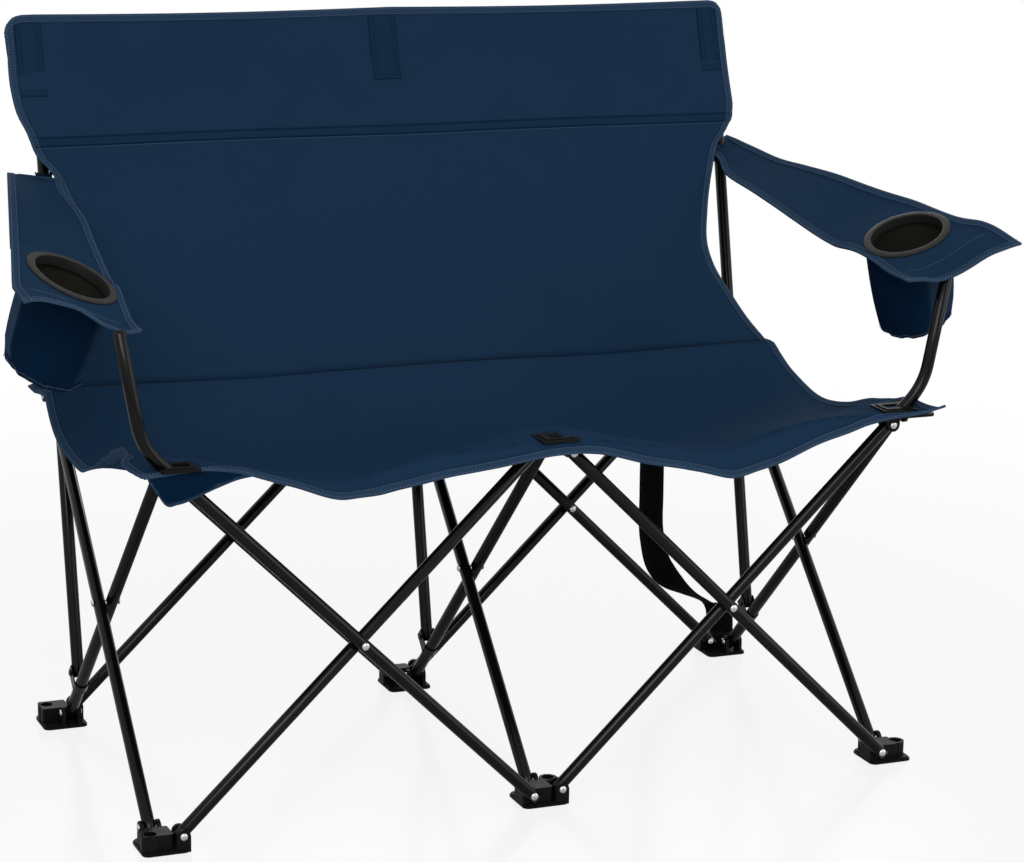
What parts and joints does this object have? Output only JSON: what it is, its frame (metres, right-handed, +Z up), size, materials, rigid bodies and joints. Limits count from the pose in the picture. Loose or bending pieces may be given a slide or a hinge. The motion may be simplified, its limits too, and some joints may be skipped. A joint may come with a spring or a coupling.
{
  "type": "folding camping loveseat",
  "caption": "Two-seat folding camp chair: crossed tube frame, sling seat and back in cloth, armrests with hanging cup holders.",
  "frame": {"origin": "centre of the bounding box of the open chair, on the ground", "axes": "+Z up, front of the chair faces -Y, +X to the right of someone who looks at the front"},
  "size_m": [1.2965, 0.7139, 0.9413],
  "materials": {
    "black_paint": "gloss",
    "moulded_black": "satin",
    "rivet_steel": "satin",
    "navy_cloth": "woven polyester, matte",
    "black_webbing": "woven webbing, matte"
  },
  "bodies": {
    "base": {"front_centre_foot": "moulded_black"},
    "front_left_foot": {"front_left_foot": "moulded_black"},
    "front_right_foot": {"front_right_foot": "moulded_black"},
    "rear_left_foot": {"rear_left_foot": "moulded_black"},
    "rear_centre_foot": {"rear_centre_foot": "moulded_black"},
    "rear_right_foot": {"rear_right_foot": "moulded_black"},
    "front_left_hub": {"front_left_hub": "moulded_black", "left_clamp_plate": "moulded_black"},
    "rear_left_hub": {"rear_left_hub": "moulded_black"},
    "front_centre_hub": {"front_centre_hub": "moulded_black", "centre_clamp_plate": "moulded_black"},
    "rear_centre_hub": {"rear_centre_hub": "moulded_black"},
    "front_right_hub": {"front_right_hub": "moulded_black", "right_clamp_plate": "moulded_black"},
    "rear_right_hub": {"rear_right_hub": "moulded_black"},
    "front_left_arm_tube": {"front_left_arm_tube": "black_paint", "front_left_cross_rivet": "rivet_steel"},
    "front_left_cross_tube": {"front_left_cross_tube": "black_paint"},
    "front_right_cross_tube": {"front_right_cross_tube": "black_paint", "front_right_cross_rivet": "rivet_steel"},
    "front_right_arm_tube": {"front_right_arm_tube": "black_paint"},
    "rear_left_falling_tube": {"rear_left_falling_tube": "black_paint", "rear_left_cross_rivet": "rivet_steel"},
    "rear_left_rising_tube": {"rear_left_rising_tube": "black_paint"},
    "rear_right_falling_tube": {"rear_right_falling_tube": "black_paint", "rear_right_cross_rivet": "rivet_steel"},
    "rear_right_rising_tube": {"rear_right_rising_tube": "black_paint"},
    "left_front_leg": {"left_front_leg": "black_paint", "left_legs_cross_rivet": "rivet_steel"},
    "left_rear_leg": {"left_rear_leg": "black_paint", "left_post_clip": "black_paint"},
    "left_post": {"left_back_post": "black_paint"},
    "centre_front_leg": {"centre_front_leg": "black_paint", "centre_legs_cross_rivet": "rivet_steel"},
    "centre_rear_leg": {"centre_rear_leg": "black_paint", "centre_post_clip": "black_paint"},
    "centre_post": {"centre_back_post": "black_paint", "back_sling": "navy_cloth"},
    "right_front_leg": {"right_front_leg": "black_paint", "right_legs_cross_rivet": "rivet_steel"},
    "right_rear_leg": {"right_rear_leg": "black_paint", "right_post_clip": "black_paint"},
    "right_post": {"right_back_post": "black_paint", "carry_strap": "black_webbing"},
    "outer_left_seat": {"outer_left_seat_panel": "navy_cloth"},
    "inner_left_seat": {"inner_left_seat_panel": "navy_cloth"},
    "inner_right_seat": {"inner_right_seat_panel": "navy_cloth"},
    "outer_right_seat": {"outer_right_seat_panel": "navy_cloth"},
    "left_armrest": {"left_armrest": "navy_cloth", "left_cup_ring": "moulded_black"},
    "right_armrest": {"right_armrest": "navy_cloth", "right_cup_ring": "moulded_black"}
  },
  "joints": [
    {"name": "fold", "type": "hinge", "parent": "base", "child": "front_left_arm_tube", "pos_m": [-0.022, -0.302, 0.02], "axis": [0, 1, 0], "range_deg": [0, 43.78]},
    {"name": "front_left_cross", "type": "hinge", "parent": "front_left_arm_tube", "child": "front_left_cross_tube", "pos_m": [-0.25, -0.285, 0.242], "axis": [0, 1, 0], "range_deg": [-87.59, 0]},
    {"name": "front_left_foot_pivot", "type": "hinge", "parent": "front_left_cross_tube", "child": "front_left_foot", "pos_m": [-0.478, -0.285, 0.02], "axis": [0, 1, 0], "range_deg": [0, 43.81]},
    {"name": "front_left_hub_pivot", "type": "hinge", "parent": "front_left_arm_tube", "child": "front_left_hub", "pos_m": [-0.478, -0.302, 0.464], "axis": [0, 1, 0], "range_deg": [-43.81, 0]},
    {"name": "front_right_tube_pivot", "type": "hinge", "parent": "base", "child": "front_right_arm_tube", "pos_m": [0.022, -0.285, 0.02], "axis": [0, 1, 0], "range_deg": [-43.81, 0]},
    {"name": "front_right_cross", "type": "hinge", "parent": "front_right_arm_tube", "child": "front_right_cross_tube", "pos_m": [0.25, -0.302, 0.242], "axis": [0, 1, 0], "range_deg": [0, 87.59]},
    {"name": "front_right_foot_pivot", "type": "hinge", "parent": "front_right_cross_tube", "child": "front_right_foot", "pos_m": [0.478, -0.302, 0.02], "axis": [0, 1, 0], "range_deg": [-43.81, 0]},
    {"name": "front_right_hub_pivot", "type": "hinge", "parent": "front_right_arm_tube", "child": "front_right_hub", "pos_m": [0.478, -0.285, 0.464], "axis": [0, 1, 0], "range_deg": [0, 43.81]},
    {"name": "centre_front_leg_pivot", "type": "hinge", "parent": "base", "child": "centre_front_leg", "pos_m": [-0.0085, -0.251, 0.02], "axis": [1, 0, 0], "range_deg": [0, 43.81]},
    {"name": "centre_legs_cross", "type": "hinge", "parent": "centre_front_leg", "child": "centre_rear_leg", "pos_m": [0.0085, -0.023, 0.242], "axis": [1, 0, 0], "range_deg": [-87.59, 0]},
    {"name": "rear_centre_foot_pivot", "type": "hinge", "parent": "centre_rear_leg", "child": "rear_centre_foot", "pos_m": [0.0085, 0.205, 0.02], "axis": [1, 0, 0], "range_deg": [0, 43.81]},
    {"name": "rear_centre_hub_pivot", "type": "hinge", "parent": "centre_front_leg", "child": "rear_centre_hub", "pos_m": [-0.0085, 0.205, 0.464], "axis": [1, 0, 0], "range_deg": [-43.81, 0]},
    {"name": "centre_post_pivot", "type": "hinge", "parent": "centre_rear_leg", "child": "centre_post", "pos_m": [0.0085, 0.1595, 0.09082], "axis": [1, 0, 0], "range_deg": [0, 54.66], "deforming": ["back_sling"]},
    {"name": "front_centre_hub_pivot", "type": "hinge", "parent": "centre_rear_leg", "child": "front_centre_hub", "pos_m": [0.0085, -0.251, 0.464], "axis": [1, 0, 0], "range_deg": [0, 43.81]},
    {"name": "left_front_leg_pivot", "type": "hinge", "parent": "front_left_foot", "child": "left_front_leg", "pos_m": [-0.5085, -0.251, 0.02], "axis": [1, 0, 0], "range_deg": [0, 43.81]},
    {"name": "left_legs_cross", "type": "hinge", "parent": "left_front_leg", "child": "left_rear_leg", "pos_m": [-0.4915, -0.023, 0.242], "axis": [1, 0, 0], "range_deg": [-87.59, 0]},
    {"name": "rear_left_foot_pivot", "type": "hinge", "parent": "left_rear_leg", "child": "rear_left_foot", "pos_m": [-0.4915, 0.205, 0.02], "axis": [1, 0, 0], "range_deg": [0, 43.81]},
    {"name": "rear_left_hub_pivot", "type": "hinge", "parent": "left_front_leg", "child": "rear_left_hub", "pos_m": [-0.5085, 0.205, 0.464], "axis": [1, 0, 0], "range_deg": [-43.81, 0]},
    {"name": "left_post_pivot", "type": "hinge", "parent": "left_rear_leg", "child": "left_post", "pos_m": [-0.4915, 0.1595, 0.09082], "axis": [1, 0, 0], "range_deg": [0, 54.66]},
    {"name": "right_front_leg_pivot", "type": "hinge", "parent": "front_right_foot", "child": "right_front_leg", "pos_m": [0.4915, -0.251, 0.02], "axis": [1, 0, 0], "range_deg": [0, 43.81]},
    {"name": "right_legs_cross", "type": "hinge", "parent": "right_front_leg", "child": "right_rear_leg", "pos_m": [0.5085, -0.023, 0.242], "axis": [1, 0, 0], "range_deg": [-87.59, 0]},
    {"name": "rear_right_foot_pivot", "type": "hinge", "parent": "right_rear_leg", "child": "rear_right_foot", "pos_m": [0.5085, 0.205, 0.02], "axis": [1, 0, 0], "range_deg": [0, 43.81]},
    {"name": "rear_right_hub_pivot", "type": "hinge", "parent": "right_front_leg", "child": "rear_right_hub", "pos_m": [0.4915, 0.205, 0.464], "axis": [1, 0, 0], "range_deg": [-43.81, 0]},
    {"name": "right_post_pivot", "type": "hinge", "parent": "right_rear_leg", "child": "right_post", "pos_m": [0.5085, 0.1595, 0.09082], "axis": [1, 0, 0], "range_deg": [0, 54.66], "deforming": ["carry_strap"]},
    {"name": "rear_left_tube_pivot", "type": "hinge", "parent": "rear_centre_foot", "child": "rear_left_falling_tube", "pos_m": [-0.022, 0.219, 0.02], "axis": [0, 1, 0], "range_deg": [0, 43.81]},
    {"name": "rear_left_cross", "type": "hinge", "parent": "rear_left_falling_tube", "child": "rear_left_rising_tube", "pos_m": [-0.25, 0.236, 0.242], "axis": [0, 1, 0], "range_deg": [-87.59, 0]},
    {"name": "rear_right_tube_pivot", "type": "hinge", "parent": "rear_centre_foot", "child": "rear_right_rising_tube", "pos_m": [0.022, 0.236, 0.02], "axis": [0, 1, 0], "range_deg": [-43.81, 0]},
    {"name": "rear_right_cross", "type": "hinge", "parent": "rear_right_rising_tube", "child": "rear_right_falling_tube", "pos_m": [0.25, 0.219, 0.242], "axis": [0, 1, 0], "range_deg": [0, 87.59]},
    {"name": "outer_left_seat_fold", "type": "hinge", "parent": "front_left_hub", "child": "outer_left_seat", "pos_m": [-0.478, -0.023, 0.481], "axis": [0, 1, 0], "range_deg": [0, 87.22], "deforming": ["outer_left_seat_panel"]},
    {"name": "inner_left_seat_fold", "type": "hinge", "parent": "front_centre_hub", "child": "inner_left_seat", "pos_m": [-0.022, -0.023, 0.481], "axis": [0, 1, 0], "range_deg": [-87.22, 0], "deforming": ["inner_left_seat_panel"]},
    {"name": "inner_right_seat_fold", "type": "hinge", "parent": "front_centre_hub", "child": "inner_right_seat", "pos_m": [0.022, -0.023, 0.481], "axis": [0, 1, 0], "range_deg": [0, 87.22], "deforming": ["inner_right_seat_panel"]},
    {"name": "outer_right_seat_fold", "type": "hinge", "parent": "front_right_hub", "child": "outer_right_seat", "pos_m": [0.478, -0.023, 0.481], "axis": [0, 1, 0], "range_deg": [-87.22, 0], "deforming": ["outer_right_seat_panel"]},
    {"name": "left_armrest_fold", "type": "hinge", "parent": "left_post", "child": "left_armrest", "pos_m": [-0.4915, 0.303, 0.745], "axis": [0.3453, -0.6807, -0.6461], "range_deg": [0, 116.19], "deforming": ["left_armrest"]},
    {"name": "right_armrest_fold", "type": "hinge", "parent": "right_post", "child": "right_armrest", "pos_m": [0.5085, 0.303, 0.745], "axis": [0.3453, 0.6807, 0.6461], "range_deg": [0, 116.19], "deforming": ["right_armrest"]}
  ],
  "couplings": [
    {"joint": "front_left_cross", "follows": "fold", "ratio": -2},
    {"joint": "front_left_foot_pivot", "follows": "fold", "ratio": 1},
    {"joint": "front_left_hub_pivot", "follows": "fold", "ratio": -1},
    {"joint": "front_right_tube_pivot", "follows": "fold", "ratio": -1},
    {"joint": "front_right_cross", "follows": "fold", "ratio": 2},
    {"joint": "front_right_foot_pivot", "follows": "fold", "ratio": -1},
    {"joint": "front_right_hub_pivot", "follows": "fold", "ratio": 1},
    {"joint": "centre_front_leg_pivot", "follows": "fold", "ratio": 1},
    {"joint": "centre_legs_cross", "follows": "fold", "ratio": -2},
    {"joint": "rear_centre_foot_pivot", "follows": "fold", "ratio": 1},
    {"joint": "rear_centre_hub_pivot", "follows": "fold", "ratio": -1},
    {"joint": "centre_post_pivot", "follows": "fold", "ratio": 1.2478},
    {"joint": "front_centre_hub_pivot", "follows": "fold", "ratio": 1},
    {"joint": "left_front_leg_pivot", "follows": "fold", "ratio": 1},
    {"joint": "left_legs_cross", "follows": "fold", "ratio": -2},
    {"joint": "rear_left_foot_pivot", "follows": "fold", "ratio": 1},
    {"joint": "rear_left_hub_pivot", "follows": "fold", "ratio": -1},
    {"joint": "left_post_pivot", "follows": "fold", "ratio": 1.2478},
    {"joint": "right_front_leg_pivot", "follows": "fold", "ratio": 1},
    {"joint": "right_legs_cross", "follows": "fold", "ratio": -2},
    {"joint": "rear_right_foot_pivot", "follows": "fold", "ratio": 1},
    {"joint": "rear_right_hub_pivot", "follows": "fold", "ratio": -1},
    {"joint": "right_post_pivot", "follows": "fold", "ratio": 1.2478},
    {"joint": "rear_left_tube_pivot", "follows": "fold", "ratio": 1},
    {"joint": "rear_left_cross", "follows": "fold", "ratio": -2},
    {"joint": "rear_right_tube_pivot", "follows": "fold", "ratio": -1},
    {"joint": "rear_right_cross", "follows": "fold", "ratio": 2},
    {"joint": "outer_left_seat_fold", "follows": "fold", "ratio": 1.9916},
    {"joint": "inner_left_seat_fold", "follows": "fold", "ratio": -1.9916},
    {"joint": "inner_right_seat_fold", "follows": "fold", "ratio": 1.9916},
    {"joint": "outer_right_seat_fold", "follows": "fold", "ratio": -1.9916},
    {"joint": "left_armrest_fold", "follows": "fold", "ratio": 2.6532},
    {"joint": "right_armrest_fold", "follows": "fold", "ratio": 2.6532}
  ]
}
